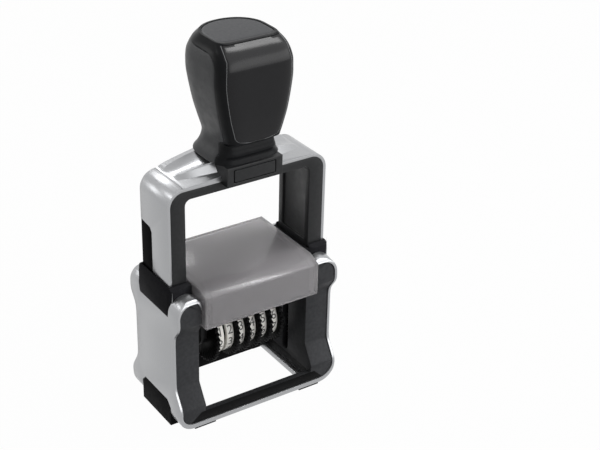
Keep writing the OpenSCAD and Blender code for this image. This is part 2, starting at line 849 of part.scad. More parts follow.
// Front outline of the glossy panel
module panel_outline(gap) {
    panel_levels = [for (z = handle_levels) if (z > panel_z + panel_corner) z];
    function half_at(z) =
        smooth(handle_knots, 1, z) - panel_rim * min(1, (handle_h - z) / cap_h + 0.3) + gap;
    polygon(both_ways(concat(
        [[half_at(panel_z) - panel_corner, panel_z0 - gap], [half_at(panel_z), panel_z0 + panel_corner - gap]],
        [for (z = panel_levels) [half_at(z), handle_z0 + z]],
        [[half_at(handle_h), handle_z1 + over]])));
}

module panel_prism(gap) {
    intersection() {
        translate([0, -grip_front, 0])
            along_y(2 * grip_front)
                panel_outline(gap);
        along_x(2 * grip_w)
            front_strip(panel_wrap + gap, handle_h);
        block([-grip_w, -2 * grip_front, handle_z0], [grip_w, gap - top_front, handle_z1 + over]);
    }
}

module handle_shell() {
    color("#141517")
        difference() {
            intersection() {
                handle_form(0);
                along_x(2 * grip_w)
                    shell_side_outline(0);
            }
            difference() {
                panel_prism(fit);
                handle_form(panel_t);
            }
            handle_top_form(inlay_t, 0);
        }
}

module handle_grip() {
    color("#303236")
        difference() {
            handle_form(0);
            along_x(2 * grip_w)
                shell_side_outline(fit);
        }
}

module handle_panel() {
    color("#0d0e10")
        difference() {
            intersection() {
                handle_form(0);
                panel_prism(0);
            }
            handle_form(panel_t - fit);
        }
}

// D-shaped inlay in the flat top
module handle_top_form(depth, gap) {
    rim = inlay_rim + gap;
    n = handle_sides;
    translate([0, 0, handle_z1 - depth + gap])
        linear_extrude(depth + over)
            polygon([for (i = [0:n - 1])
                let (p = handle_point(handle_h, 360 * i / n, rim))
                [p[0], p[1]]]);
}

module handle_inlay() {
    color("#4a4c50")
        intersection() {
            handle_top_form(inlay_t, fit);
            block([-grip_w, -2 * grip_front, handle_z0], [grip_w, 2 * grip_front, handle_z1]);
        }
}

// Outline of the hood from the side, with a sloped front edge
module hood_outline(inset, low) {
    half = hood_d / 2 - inset;
    top = hood_z1 - inset;
    knee = top - hood_slope_h;
    polygon([
        [-half, low], [-half, knee], [hood_slope_d - half, top], [half - hood_back_slope, top],
        [half, top - hood_back_slope], [half, low]]);
}

// The hood's back stays above the print unit, so that the cartridge pulls out to the front
module hood() {
    inner_x = hood_half - hood_t;
    color("#8b888c")
        difference() {
            along_x(2 * hood_half)
                hood_outline(0, hood_z0);
            along_x(2 * inner_x)
                hood_outline(hood_t, hood_z0 - over);
            block([-inner_x, 0, hood_z0 - over], [inner_x, hood_d, rear_edge_z]);
        }
}

module pad_tray() {
    skin = hood_t + fit;
    inner = skin + tray_t;
    color("#77757a")
        difference() {
            along_x(2 * tray_half)
                hood_outline(skin, hood_z0 + apron_rise);
            along_x(2 * (tray_half - tray_t))
                hood_outline(inner, hood_z0);
            block([-tray_half - over, inner - hood_d / 2, hood_z0], [tray_half + over, hood_d / 2, rear_edge_z]);
        }
}

module ink_pad() {
    half = tray_half - tray_t - fit;
    color("#1b1730")
        block([-half, -ink_pad_d / 2, pad_z0], [half, ink_pad_d / 2, pad_z1]);
}

// Cheek of the number carriage, with the boss for its trunnion
module cheek(side) {
    color("#202225")
        on_side(side)
            difference() {
                union() {
                    translate([(cheek_in + cheek_out) / 2, 0, 0])
                        along_x(cheek_t) {
                            translate([-cheek_half, wheel_z])
                                square([2 * cheek_half, cheek_z1 - wheel_z]);
                            translate([0, wheel_z])
                                circle(cheek_half);
                        }
                    pin_x(cheek_out - fit, boss_out, 0, flip_z, boss_d / 2);
                }
                pin_x(cheek_in - over, boss_out + over, 0, flip_z, trunnion_d / 2 + fit / 2);
                pin_x(cheek_in - over, cheek_out + over, 0, wheel_z, axle_d / 2 + fit / 2);
                pin_x(cheek_in - over, cheek_out + over, 0, flip_z - follower_reach, follower_d / 2 + fit / 2);
            }
}

module trunnion(side) {
    color("silver")
        on_side(side)
            pin_x(cheek_in, leg_in + trunnion_in, 0, flip_z, trunnion_d / 2);
}

module follower(side) {
    color("silver")
        on_side(side)
            pin_x(cheek_in, inner_half + follower_in, 0, flip_z - follower_reach, follower_d / 2);
}

module wheel_axle() {
    color("silver")
        pin_x(-cheek_out - cheek_t / 2, cheek_out + cheek_t / 2, 0, wheel_z, axle_d / 2);
}

module axle_clip(side) {
    color("silver")
        on_side(side)
            difference() {
                pin_x(cheek_out + fit, cheek_out + cheek_t / 4, 0, wheel_z, axle_d);
                pin_x(0, base_half, 0, wheel_z, axle_d / 2 + fit / 2);
            }
}

// Bridge that carries the bands at the printing face
module bridge_outline(r, low) {
    translate([-nose_y, low])
        square([2 * nose_y, nose_z + r - low]);
    translate([-nose_y - r, low])
        square([2 * (nose_y + r), nose_z - low]);
    for (s = [-1, 1])
        translate([s * nose_y, nose_z])
            circle(r);
}

module type_bridge() {
    color("#202225")
        along_x(2 * (cheek_in - fit))
            bridge_outline(nose_r - fit, flip_z + trunnion_d);
}

// A band runs from the bridge's edges along the tangents to its figure ring
function tangent_angle(r0, r1) =
    let (dy = -nose_y, dz = wheel_z - nose_z)
    acos((r0 - r1) / norm([dy, dz])) + atan2(dz, dy);
module band_outline(r0, r1) {
    a = tangent_angle(r0, r1);
    near = [nose_y + r0 * cos(a), nose_z + r0 * sin(a)];
    far = [r1 * cos(a), wheel_z + r1 * sin(a)];
    bridge_outline(r0, nose_z - nose_r);
    polygon([near, far, [-far[0], far[1]], [-near[0], near[1]]]);
}

module number_band(i) {
    outer_r = nose_r + band_thick;
    color("#3a2f2b")
        translate([band_x[i], 0, 0])
            union() {
                along_x(strap_w)
                    difference() {
                        band_outline(outer_r, ring_r);
                        band_outline(nose_r, ring_r - band_thick);
                        translate([0, wheel_z])
                            circle(ring_r + run);
                    }
                block([-strap_w / 2, -face_d / 2, type_top - type_h - fit], [strap_w / 2, face_d / 2, type_top]);
            }
}

// Serrated setting wheel: the first has its serrated edge on the left, the others on the right
module serrated_edge() {
    low = wheel_r - tooth_h;
    share = 360 / teeth;
    polygon([for (i = [0:teeth - 1], k = [0:3])
        let (a = share * (i + k / 4), r = k < 2 ? wheel_r : low)
        [r * cos(a), r * sin(a)]]);
}

module number_wheel(i) {
    disc_side = i == 0 ? -1 : 1;
    spacer = first_pitch - band_w - run;
    color("#141516")
        translate([band_x[i], 0, wheel_z])
            difference() {
                union() {
                    pin_x(-band_w / 2, band_w / 2, 0, 0, ring_r - ring_t - fit);
                    translate([disc_side * (band_w + disc_w) / 2, 0, 0])
                        along_x(disc_w + fit)
                            serrated_edge();
                    if (i == 0)
                        pin_x(0, band_w / 2 + spacer, 0, 0, axle_d);
                }
                pin_x(-band_w - disc_w, band_w + disc_w, 0, 0, axle_d / 2 + pin_run);
            }
}

module figure_ring(i) {
    disc_side = i == 0 ? -1 : 1;
    color("ivory")
        translate([band_x[i] - disc_side * fit, 0, wheel_z])
            difference() {
                pin_x(-band_w / 2 + fit, band_w / 2 - fit, 0, 0, ring_r);
                pin_x(-band_w, band_w, 0, 0, ring_r - ring_t);
            }
}

// Helical spring as one tube of six-sided rings
spring_rings = 8;
wire_sides = 6;
spring_z0 = channel_floor + spring_wire;
function spring_point(k, j) =
    let (turn = 360 * k / spring_rings,
        a = 360 * j / wire_sides,
        r = spring_r + spring_wire / 2 * cos(a),
        climb = (spring_z1 - run - spring_wire - spring_z0) / (spring_turns * spring_rings))
    [r * cos(turn), r * sin(turn), spring_z0 + climb * k + spring_wire / 2 * sin(a)];

module return_spring(side) {
    n = wire_sides;
    rings = spring_turns * spring_rings;
    points = [for (k = [0:rings], j = [0:n - 1]) spring_point(k, j)];
    sides = [for (k = [0:rings - 1], j = [0:n - 1], half = [0, 1])
        let (m = (j + 1) % n)
        half == 0 ? [k * n + j, (k + 1) * n + j, k * n + m] : [k * n + m, (k + 1) * n + j, (k + 1) * n + m]];
    low_end = [[for (j = [0:n - 1]) j]];
    high_end = [[for (j = [n - 1:-1:0]) rings * n + j]];
    color("silver")
        translate([side * spring_x, side * spring_y, 0])
            polyhedron(points, concat(sides, low_end, high_end));
}
echo(spring_gap = (spring_z1 - run - spring_wire - spring_z0) / spring_turns - spring_wire);

outer_shell();
inner_frame();
guide_collar(-1);  // left_guide_collar
guide_collar(1);  // right_guide_collar
side_foot(-1);  // left_side_foot
side_foot(1);  // right_side_foot
sill_pad(-1, -1);  // sill_pad_front_left
sill_pad(1, -1);  // sill_pad_front_right
sill_pad(-1, 1);  // sill_pad_rear_left
sill_pad(1, 1);  // sill_pad_rear_right
return_spring(-1);  // left_return_spring
return_spring(1);  // right_return_spring
bracket_frame();
bracket_shell();
crown(-1);  // left_crown
crown(1);  // right_crown
wear_strip(-1);  // left_wear_strip
wear_strip(1);  // right_wear_strip
saddle();
handle_shell();
handle_grip();
handle_panel();
handle_inlay();
lock_button();
hood();
pad_tray();
ink_pad();
cheek(-1);  // left_cheek
cheek(1);  // right_cheek
trunnion(-1);  // left_trunnion
trunnion(1);  // right_trunnion
follower(-1);  // left_follower
follower(1);  // right_follower
wheel_axle();
axle_clip(-1);  // left_axle_clip
axle_clip(1);  // right_axle_clip
type_bridge();
for (i = [0:bands - 1]) {
    number_band(i);
    number_wheel(i);
    figure_ring(i);
}
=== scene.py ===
"""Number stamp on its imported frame: finishes, handle, crowns, figures, bands, pad, springs, light, camera."""
import json
import math

import bmesh
import bpy
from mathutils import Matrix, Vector

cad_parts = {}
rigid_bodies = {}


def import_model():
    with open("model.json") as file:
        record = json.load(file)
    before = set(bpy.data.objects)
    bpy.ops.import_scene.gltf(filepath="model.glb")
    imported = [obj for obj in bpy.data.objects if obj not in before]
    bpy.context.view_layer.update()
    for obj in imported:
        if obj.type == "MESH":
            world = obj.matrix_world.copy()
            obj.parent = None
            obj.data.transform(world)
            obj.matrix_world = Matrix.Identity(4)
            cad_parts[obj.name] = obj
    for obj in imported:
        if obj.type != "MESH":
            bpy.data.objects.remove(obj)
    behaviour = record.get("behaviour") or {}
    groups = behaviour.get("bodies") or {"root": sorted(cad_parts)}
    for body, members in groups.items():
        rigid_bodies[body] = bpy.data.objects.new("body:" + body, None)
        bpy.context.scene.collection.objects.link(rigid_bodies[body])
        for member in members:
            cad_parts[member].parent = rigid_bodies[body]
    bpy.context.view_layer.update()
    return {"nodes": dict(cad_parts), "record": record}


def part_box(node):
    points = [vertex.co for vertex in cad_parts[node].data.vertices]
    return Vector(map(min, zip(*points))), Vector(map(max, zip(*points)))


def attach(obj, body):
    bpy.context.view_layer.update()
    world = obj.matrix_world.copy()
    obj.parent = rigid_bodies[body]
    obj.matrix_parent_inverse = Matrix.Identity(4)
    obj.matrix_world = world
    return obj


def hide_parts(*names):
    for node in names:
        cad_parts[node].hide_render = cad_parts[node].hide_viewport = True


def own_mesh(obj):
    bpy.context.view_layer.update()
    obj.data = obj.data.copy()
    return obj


# Sizes are in millimetres, places of camera and lamps in metres
MM = 0.001
for stale in list(bpy.data.objects):
    bpy.data.objects.remove(stale)
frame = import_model()
nodes = frame["nodes"]


def toward(a, b, t):
    """The value a share t of the way from a to b."""
    return a + (b - a) * t


def low(node):
    """Lowest corner of a CAD node, in millimetres."""
    return [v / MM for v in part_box(node)[0]]


def high(node):
    """Highest corner of a CAD node, in millimetres."""
    return [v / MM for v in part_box(node)[1]]


def centre(node):
    """Middle of a CAD node's box, in millimetres."""
    return [(a + b) / 2 for a, b in zip(low(node), high(node))]


# Camera at the photograph's viewing angle
CAMERA_PLACE = (-0.220706, -0.358577, 0.299898)
CAMERA_TILT = 61.36
CAMERA_TURN = -31.65
CAMERA_LENS = 79.2
CAMERA_SHIFT = 0.1083
camera_data = bpy.data.cameras.new("camera")
camera_data.lens = CAMERA_LENS
camera_data.sensor_width = 36
camera_data.shift_x = CAMERA_SHIFT
camera = bpy.data.objects.new("camera", camera_data)
camera.location = CAMERA_PLACE
camera.rotation_euler = (math.radians(CAMERA_TILT), 0, math.radians(CAMERA_TURN))
bpy.context.scene.collection.objects.link(camera)
bpy.context.scene.camera = camera


# Finishes
NOISE_LOW = 0.3
NOISE_HIGH = 0.7
GLOSS_SCALE = 2.5


def linked(tree, source, target):
    """Links an output socket to an input socket."""
    tree.links.new(source, target)


def noise(tree, size_mm, detail=3.0):
    """A noise whose features are about as large as asked, in the object's own space."""
    place = tree.nodes.new("ShaderNodeTexCoord")
    texture = tree.nodes.new("ShaderNodeTexNoise")
    texture.inputs["Scale"].default_value = 1 / (size_mm * MM)
    texture.inputs["Detail"].default_value = detail
    linked(tree, place.outputs["Object"], texture.inputs["Vector"])
    return texture


def ranged(tree, value, lowest, highest):
    """A noise value spread over a range."""
    spread = tree.nodes.new("ShaderNodeMapRange")
    spread.inputs["From Min"].default_value = NOISE_LOW
    spread.inputs["From Max"].default_value = NOISE_HIGH
    spread.inputs["To Min"].default_value = lowest
    spread.inputs["To Max"].default_value = highest
    linked(tree, value, spread.inputs["Value"])
    return spread.outputs["Result"]


def tinted(tree, value, dark, light):
    """A colour that goes from dark to light with a noise value."""
    ramp = tree.nodes.new("ShaderNodeValToRGB")
    ramp.color_ramp.elements[0].position = NOISE_LOW
    ramp.color_ramp.elements[0].color = (*dark, 1)
    ramp.color_ramp.elements[1].position = NOISE_HIGH
    ramp.color_ramp.elements[1].color = (*light, 1)
    linked(tree, value, ramp.inputs["Fac"])
    return ramp.outputs["Color"]


def bumped(tree, shader, value, depth_mm, strength):
    """Surface relief from a noise value."""
    relief = tree.nodes.new("ShaderNodeBump")
    relief.inputs["Strength"].default_value = strength
    relief.inputs["Distance"].default_value = depth_mm * MM
    linked(tree, value, relief.inputs["Height"])
    linked(tree, relief.outputs["Normal"], shader.inputs["Normal"])


def finish(name, colour, mottle, mottle_mm, rough, rough_spread, grain_mm, grain_depth, grain, **sockets):
    """A moulded or painted surface: uneven colour and gloss, and a fine grain."""
    material = bpy.data.materials.new(name)
    material.use_nodes = True
    tree = material.node_tree
    shader = tree.nodes["Principled BSDF"]
    dark = [c * (1 - mottle) for c in colour]
    light = [c * (1 + mottle) for c in colour]
    patches = noise(tree, mottle_mm).outputs["Fac"]
    linked(tree, tinted(tree, patches, dark, light), shader.inputs["Base Color"])
    gloss = noise(tree, GLOSS_SCALE * mottle_mm, detail=2.0).outputs["Fac"]
    linked(tree, ranged(tree, gloss, rough - rough_spread, rough + rough_spread), shader.inputs["Roughness"])
    bumped(tree, shader, noise(tree, grain_mm, detail=4.0).outputs["Fac"], grain_depth, grain)
    for socket, value in sockets.items():
        shader.inputs[socket.replace("_", " ")].default_value = value
    return material


finishes = {
    "silver_shell": finish("silver_paint", (0.375, 0.38, 0.39), mottle=0.03, mottle_mm=0.09,
                           rough=0.3, rough_spread=0.03, grain_mm=0.1, grain_depth=0.004, grain=0.2,
                           Metallic=0.85, Coat_Weight=0.1, Coat_Roughness=0.25),
    "dark_frame": finish("dark_plastic", (0.018, 0.0185, 0.0195), mottle=0.15, mottle_mm=1.2,
                         rough=0.4, rough_spread=0.05, grain_mm=0.16, grain_depth=0.012, grain=0.35,
                         Specular_IOR_Level=0.2),
    "wear_strip": finish("wear_plastic", (0.006, 0.006, 0.0065), mottle=0.1, mottle_mm=1.5,
                         rough=0.4, rough_spread=0.04, grain_mm=0.3, grain_depth=0.006, grain=0.25,
                         Specular_IOR_Level=0.01),
    "foot_rubber": finish("foot_rubber", (0.012, 0.012, 0.0125), mottle=0.2, mottle_mm=0.8,
                          rough=0.62, rough_spread=0.06, grain_mm=0.2, grain_depth=0.03, grain=0.5,
                          Specular_IOR_Level=0.02),
    "steel": finish("bright_steel", (0.62, 0.62, 0.63), mottle=0.06, mottle_mm=0.6,
                    rough=0.24, rough_spread=0.05, grain_mm=0.1, grain_depth=0.004, grain=0.2,
                    Metallic=1.0),
    "carriage": finish("carriage_plastic", (0.008, 0.0085, 0.009), mottle=0.15, mottle_mm=0.9,
                       rough=0.42, rough_spread=0.06, grain_mm=0.15, grain_depth=0.01, grain=0.3,
                       Specular_IOR_Level=0.2),
    "band_rubber": finish("band_rubber", (0.075, 0.055, 0.047), mottle=0.18, mottle_mm=0.7,
                          rough=0.6, rough_spread=0.06, grain_mm=0.12, grain_depth=0.02, grain=0.45,
                          Specular_IOR_Level=0.3),
    "wheel_black": finish("wheel_plastic", (0.0035, 0.0035, 0.0038), mottle=0.15, mottle_mm=0.9,
                          rough=0.36, rough_spread=0.06, grain_mm=0.15, grain_depth=0.008, grain=0.3,
                          Specular_IOR_Level=0.04),
    "figure_white": finish("figure_strip", (0.93, 0.91, 0.86), mottle=0.04, mottle_mm=0.7,
                           rough=0.5, rough_spread=0.06, grain_mm=0.12, grain_depth=0.01, grain=0.3,
                           Specular_IOR_Level=0.3),
    "handle_gloss": finish("handle_plastic", (0.011, 0.0115, 0.0125), mottle=0.12, mottle_mm=2.0,
                           rough=0.3, rough_spread=0.03, grain_mm=0.5, grain_depth=0.006, grain=0.2,
                           Specular_IOR_Level=0.06),
    "panel_gloss": finish("panel_gloss", (0.006, 0.006, 0.007), mottle=0.1, mottle_mm=3.0,
                          rough=0.22, rough_spread=0.02, grain_mm=2.5, grain_depth=0.01, grain=0.12,
                          Specular_IOR_Level=0.22),
    "grip_soft": finish("soft_grip", (0.02, 0.021, 0.023), mottle=0.12, mottle_mm=1.1,
                        rough=0.42, rough_spread=0.05, grain_mm=0.14, grain_depth=0.014, grain=0.4,
                        Specular_IOR_Level=0.24, Sheen_Weight=0.02, Sheen_Roughness=0.4),
    "inlay_satin": finish("top_inlay", (0.035, 0.036, 0.039), mottle=0.12, mottle_mm=0.5,
                          rough=0.45, rough_spread=0.05, grain_mm=0.12, grain_depth=0.012, grain=0.4,
                          Specular_IOR_Level=0.2),
    "smoky_hood": finish("smoky_clear", (0.55, 0.535, 0.55), mottle=0.02, mottle_mm=4.0,
                         rough=0.21, rough_spread=0.02, grain_mm=3.0, grain_depth=0.01, grain=0.1,
                         Transmission_Weight=0.75, IOR=1.46, Specular_IOR_Level=0.14),
    "tray_grey": finish("tray_plastic", (0.15, 0.145, 0.15), mottle=0.06, mottle_mm=1.2,
                        rough=0.42, rough_spread=0.05, grain_mm=0.18, grain_depth=0.01, grain=0.3),
    "ink_felt": finish("ink_felt", (0.02, 0.014, 0.034), mottle=0.3, mottle_mm=0.35,
                       rough=0.85, rough_spread=0.05, grain_mm=0.09, grain_depth=0.06, grain=0.8,
                       Sheen_Weight=0.25, Sheen_Roughness=0.5),
}
node_finishes = {
    "inner_frame": finish("bezel_plastic", (0.048, 0.049, 0.052), mottle=0.12, mottle_mm=1.2,
                          rough=0.42, rough_spread=0.05, grain_mm=0.16, grain_depth=0.012, grain=0.35,
                          Specular_IOR_Level=0.03),
    "guide_collar": finish("collar_plastic", (0.018, 0.018, 0.02), mottle=0.15, mottle_mm=1.2,
                           rough=0.42, rough_spread=0.05, grain_mm=0.16, grain_depth=0.01, grain=0.3,
                           Specular_IOR_Level=0.01),
}
SILL_TOP = 7.2
SILL_HALF = 25.0
SILL_BLEND = 0.15
# Black of the sill: partly painted shade on its down-facing front, partly the sill's own black
SILL_BLACK_AND_SHADE = (0.003, 0.003, 0.0033, 1)


def blacken_sill(material, top_mm, half_mm):
    """The bezel's sill is black below a height, with a mitre at both ends: partly a black sill, partly painted
    shade on the sill's down-facing front.
    """
    tree = material.node_tree
    shader = tree.nodes["Principled BSDF"]
    grey = shader.inputs["Base Color"].links[0].from_socket
    place = tree.nodes.new("ShaderNodeTexCoord")
    axes = tree.nodes.new("ShaderNodeSeparateXYZ")
    linked(tree, place.outputs["Object"], axes.inputs[0])
    side = tree.nodes.new("ShaderNodeMath")
    side.operation = "ABSOLUTE"
    linked(tree, axes.outputs["X"], side.inputs[0])
    beyond = tree.nodes.new("ShaderNodeMapRange")
    beyond.inputs["From Min"].default_value = half_mm * MM
    beyond.inputs["From Max"].default_value = (half_mm + top_mm) * MM
    beyond.inputs["To Max"].default_value = top_mm * MM
    linked(tree, side.outputs[0], beyond.inputs["Value"])
    height = tree.nodes.new("ShaderNodeMath")
    linked(tree, axes.outputs["Z"], height.inputs[0])
    linked(tree, beyond.outputs["Result"], height.inputs[1])
    level = tree.nodes.new("ShaderNodeMapRange")
    level.inputs["From Min"].default_value = (top_mm - SILL_BLEND) * MM
    level.inputs["From Max"].default_value = (top_mm + SILL_BLEND) * MM
    linked(tree, height.outputs[0], level.inputs["Value"])
    mixed = tree.nodes.new("ShaderNodeMix")
    mixed.data_type = "RGBA"
    mixed.inputs["A"].default_value = SILL_BLACK_AND_SHADE
    linked(tree, level.outputs["Result"], mixed.inputs["Factor"])
    linked(tree, grey, mixed.inputs["B"])
    linked(tree, mixed.outputs["Result"], shader.inputs["Base Color"])


# The bezel's sill is painted black: partly painted shade where it faces down, partly a black sill
blacken_sill(node_finishes["inner_frame"], SILL_TOP, SILL_HALF)
ink_grey = finish("figure_ink", (0.06, 0.06, 0.062), mottle=0.15, mottle_mm=0.4,
                  rough=0.55, rough_spread=0.05, grain_mm=0.15, grain_depth=0.01, grain=0.3)


def smooth_shading(angle_deg):
    """Geometry nodes that shade smoothly and keep edges sharper than an angle."""
    group = bpy.data.node_groups.new("smooth_shading", "GeometryNodeTree")
    group.interface.new_socket("Geometry", in_out="INPUT", socket_type="NodeSocketGeometry")
    group.interface.new_socket("Geometry", in_out="OUTPUT", socket_type="NodeSocketGeometry")
    start = group.nodes.new("NodeGroupInput")
    end = group.nodes.new("NodeGroupOutput")
    plain = group.nodes.new("GeometryNodeRemoveAttribute")
    plain.inputs["Name"].default_value = "custom_normal"
    soft = group.nodes.new("GeometryNodeSetShadeSmooth")
    edge_angle = group.nodes.new("GeometryNodeInputMeshEdgeAngle")
    sharper = group.nodes.new("FunctionNodeCompare")
    sharper.operation = "GREATER_THAN"
    sharper.inputs["B"].default_value = math.radians(angle_deg)
    crisp = group.nodes.new("GeometryNodeSetShadeSmooth")
    crisp.domain = "EDGE"
    crisp.inputs["Shade Smooth"].default_value = False
    linked(group, start.outputs[0], plain.inputs[0])
    linked(group, plain.outputs[0], soft.inputs["Geometry"])
    linked(group, soft.outputs[0], crisp.inputs["Geometry"])
    linked(group, edge_angle.outputs["Unsigned Angle"], sharper.inputs["A"])
    linked(group, sharper.outputs[0], crisp.inputs["Selection"])
    linked(group, crisp.outputs[0], end.inputs[0])
    return group


SHADE_ANGLE = 32
CREASE_ANGLE = 13
NODE_EDGE_ANGLE = 28
PIECE_EDGE_ANGLE = 40
shading = smooth_shading(SHADE_ANGLE)
crease_shading = smooth_shading(CREASE_ANGLE)


def soften(piece, width_mm, limit_deg=PIECE_EDGE_ANGLE, clamp=True, group=shading):
    """Small rounds on a piece's edges, with smooth shading."""
    if width_mm > 0:
        edge = piece.modifiers.new("edge", "BEVEL")
        edge.width = width_mm * MM
        edge.segments = 2
        edge.limit_method = "ANGLE"
        edge.angle_limit = math.radians(limit_deg)
        edge.use_clamp_overlap = clamp
    shade = piece.modifiers.new("shade", "NODES")
    shade.node_group = group


WELD_MM = 0.002
NODE_EDGE_MM = 0.25
EDGE_MM = {"axle_clip": 0.08, "figure_ring": 0.1, "sill_pad": 0.12, "number_wheel": 0.12, "hood": 0.35}
CLAMPED = ("bracket_shell", "crown", "follower", "trunnion", "type_bridge")


def dress_node(name, slot):
    """A CAD node keeps its mesh and gets its finish and rounded edges."""
    piece = nodes[name]
    piece.data.materials.clear()
    own = next((value for part, value in node_finishes.items() if part in name), finishes[slot])
    piece.data.materials.append(own)
    weld = piece.modifiers.new("weld", "WELD")
    weld.merge_threshold = WELD_MM * MM
    width = next((value for part, value in EDGE_MM.items() if part in name), NODE_EDGE_MM)
    soften(piece, width, NODE_EDGE_ANGLE, clamp=any(part in name for part in CLAMPED))


for part in frame["record"]["subparts"]:
    dress_node(part["node"], part["material_slot"])


SAME_POINT = 1e-7


def add_piece(name, verts, faces, slot, body, material=None):
    """A new mesh piece, given in millimetres, that rides on a body."""
    mesh = bpy.data.meshes.new(name)
    mesh.from_pydata([Vector(v) * MM for v in verts], [], faces)
    built = bmesh.new()
    built.from_mesh(mesh)
    bmesh.ops.remove_doubles(built, verts=built.verts, dist=SAME_POINT)
    bmesh.ops.dissolve_degenerate(built, edges=built.edges, dist=SAME_POINT)
    built.to_mesh(mesh)
    built.free()
    piece = bpy.data.objects.new(name, mesh)
    bpy.context.scene.collection.objects.link(piece)
    mesh.materials.append(material or finishes[slot])
    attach(piece, body)
    return piece


# Handle: the solid's form on a finer grid, softer at the neck and cap, with a light grey strip round its panel
# that is a painted highlight on the panel's edge
HANDLE_Z0 = low("handle_grip")[2]
HANDLE_H = high("handle_shell")[2] - HANDLE_Z0
HANDLE_TOP = HANDLE_Z0 + HANDLE_H
CAP_H = 7.0
CAP_Z = HANDLE_H - CAP_H
CAP_SIDE = 3.6
GRIP_Z = HANDLE_H - CAP_SIDE
FRONT_SHELL_D = 4.6
PARTING_R = 4.6
WALL = 1.2
SEAM = 0.14

# Panel, light grey strip (a painted highlight on the panel's edge) and inlay
PANEL_Z = 9.4
PANEL_TOP_RIM = 0.45
PANEL_TOP = HANDLE_H - PANEL_TOP_RIM
PANEL_RIM = 2.3
PANEL_RIM_LEAST = 0.3
PANEL_CORNER = 2.2
CORNER_Z = PANEL_Z + PANEL_CORNER
PANEL_BOW = 0.9
BOW_FADE = 6.0
PANEL_SINK = 0.9
PANEL_BED = 0.06
HIGHLIGHT_STRIP_W = 0.26
HIGHLIGHT_STRIP_T = 0.6
HIGHLIGHT_STRIP_OUTER_GAP = 0.04
HIGHLIGHT_STRIP_INNER_GAP = 0.02
INLAY_RIM = 0.9
INLAY_T = 1.1
INLAY_BED = 0.05
INLAY_DOME = ((0.0, 0.12), (1.0, 0.06), (3.5, 0.03))

# Half widths and depths of the handle's sections, and how square they are
GRIP_HALF = 15.3
GRIP_FRONT = 17.0
GRIP_REAR = 16.4
NECK_X = 10.3
NECK_HALF = 11.0
NECK_FRONT = 11.96
NECK_Z = 0.75 * PANEL_Z
ROLL_FRONT = 12.75
HOLLOW_FRONT = 12.1
FOOT_FRONT = 12.9
ROOT_X = 13.7
ROOT_REAR = 13.85
TOP_X = 12.2
TOP_FRONT = 10.6
TOP_REAR = 11.2
FRONT_POWER = 7.0
FOOT_POWER = 3.6
REAR_POWER = 2.6
TOP_POWER = 2.1

# Rows, columns and edge rounds of the handle's pieces
FRONT_COLS = 26
STRIP_COLS = 14
REAR_COLS = 90
INLAY_COLS = 120
NECK_ROWS = 56
GRIP_NECK_ROWS = 40
GRIP_ROWS = 66
CORNER_ROWS = 8
HIGHLIGHT_STRIP_CORNER_ROWS = 10
FRONT_ROWS = 52
CAP_ROWS = 16
PANEL_ROWS = 64
SAME_HEIGHT = 1e-6
SHELL_EDGE = 0.22
GRIP_EDGE = 0.25
PANEL_EDGE = 0.18
INLAY_EDGE = 0.12

# Knots: height, half width, depth in front, depth at the back
KNOTS = [
    (0, ROOT_X, FOOT_FRONT, ROOT_REAR),
    (0.18 * PANEL_Z, toward(ROOT_X, NECK_X, 0.4), HOLLOW_FRONT, toward(ROOT_REAR, NECK_HALF, 0.4)),
    (0.36 * PANEL_Z, toward(ROOT_X, NECK_X, 0.68), ROLL_FRONT, toward(ROOT_REAR, NECK_HALF, 0.68)),
    (0.54 * PANEL_Z, toward(ROOT_X, NECK_X, 0.86), toward(NECK_FRONT, ROLL_FRONT, 0.4),
     toward(ROOT_REAR, NECK_HALF, 0.86)),
    (NECK_Z, toward(NECK_X, GRIP_HALF, 0.04), NECK_FRONT, toward(ROOT_REAR, NECK_HALF, 0.97)),
    (0.92 * PANEL_Z, toward(NECK_X, GRIP_HALF, 0.09), toward(NECK_HALF, GRIP_FRONT, 0.74),
     toward(NECK_HALF, GRIP_REAR, 0.03)),
    (PANEL_Z, toward(NECK_X, GRIP_HALF, 0.13), toward(NECK_HALF, GRIP_FRONT, 0.78),
     toward(NECK_HALF, GRIP_REAR, 0.06)),
    (0.3 * HANDLE_H, toward(NECK_X, GRIP_HALF, 0.36), toward(NECK_HALF, GRIP_FRONT, 0.86),
     toward(NECK_HALF, GRIP_REAR, 0.24)),
    (0.43 * HANDLE_H, toward(NECK_X, GRIP_HALF, 0.66), toward(NECK_HALF, GRIP_FRONT, 0.94),
     toward(NECK_HALF, GRIP_REAR, 0.5)),
    (0.66 * HANDLE_H, toward(NECK_X, GRIP_HALF, 0.98), GRIP_FRONT, toward(NECK_HALF, GRIP_REAR, 0.94)),
    (0.76 * HANDLE_H, GRIP_HALF, GRIP_FRONT, GRIP_REAR),
    (CAP_Z, toward(GRIP_HALF, TOP_X, 0.08), toward(GRIP_FRONT, TOP_FRONT, 0.04),
     toward(GRIP_REAR, TOP_REAR, 0.12)),
    (HANDLE_H - 0.4 * CAP_H, toward(GRIP_HALF, TOP_X, 0.45), toward(GRIP_FRONT, TOP_FRONT, 0.38),
     toward(GRIP_REAR, TOP_REAR, 0.5)),
    (HANDLE_H, TOP_X, TOP_FRONT, TOP_REAR)]


def knot_slope(column, i):
    """Slope of a knot's value, from its neighbours."""
    before = KNOTS[max(i - 1, 0)]
    after = KNOTS[min(i + 1, len(KNOTS) - 1)]
    return (after[column] - before[column]) / (after[0] - before[0])


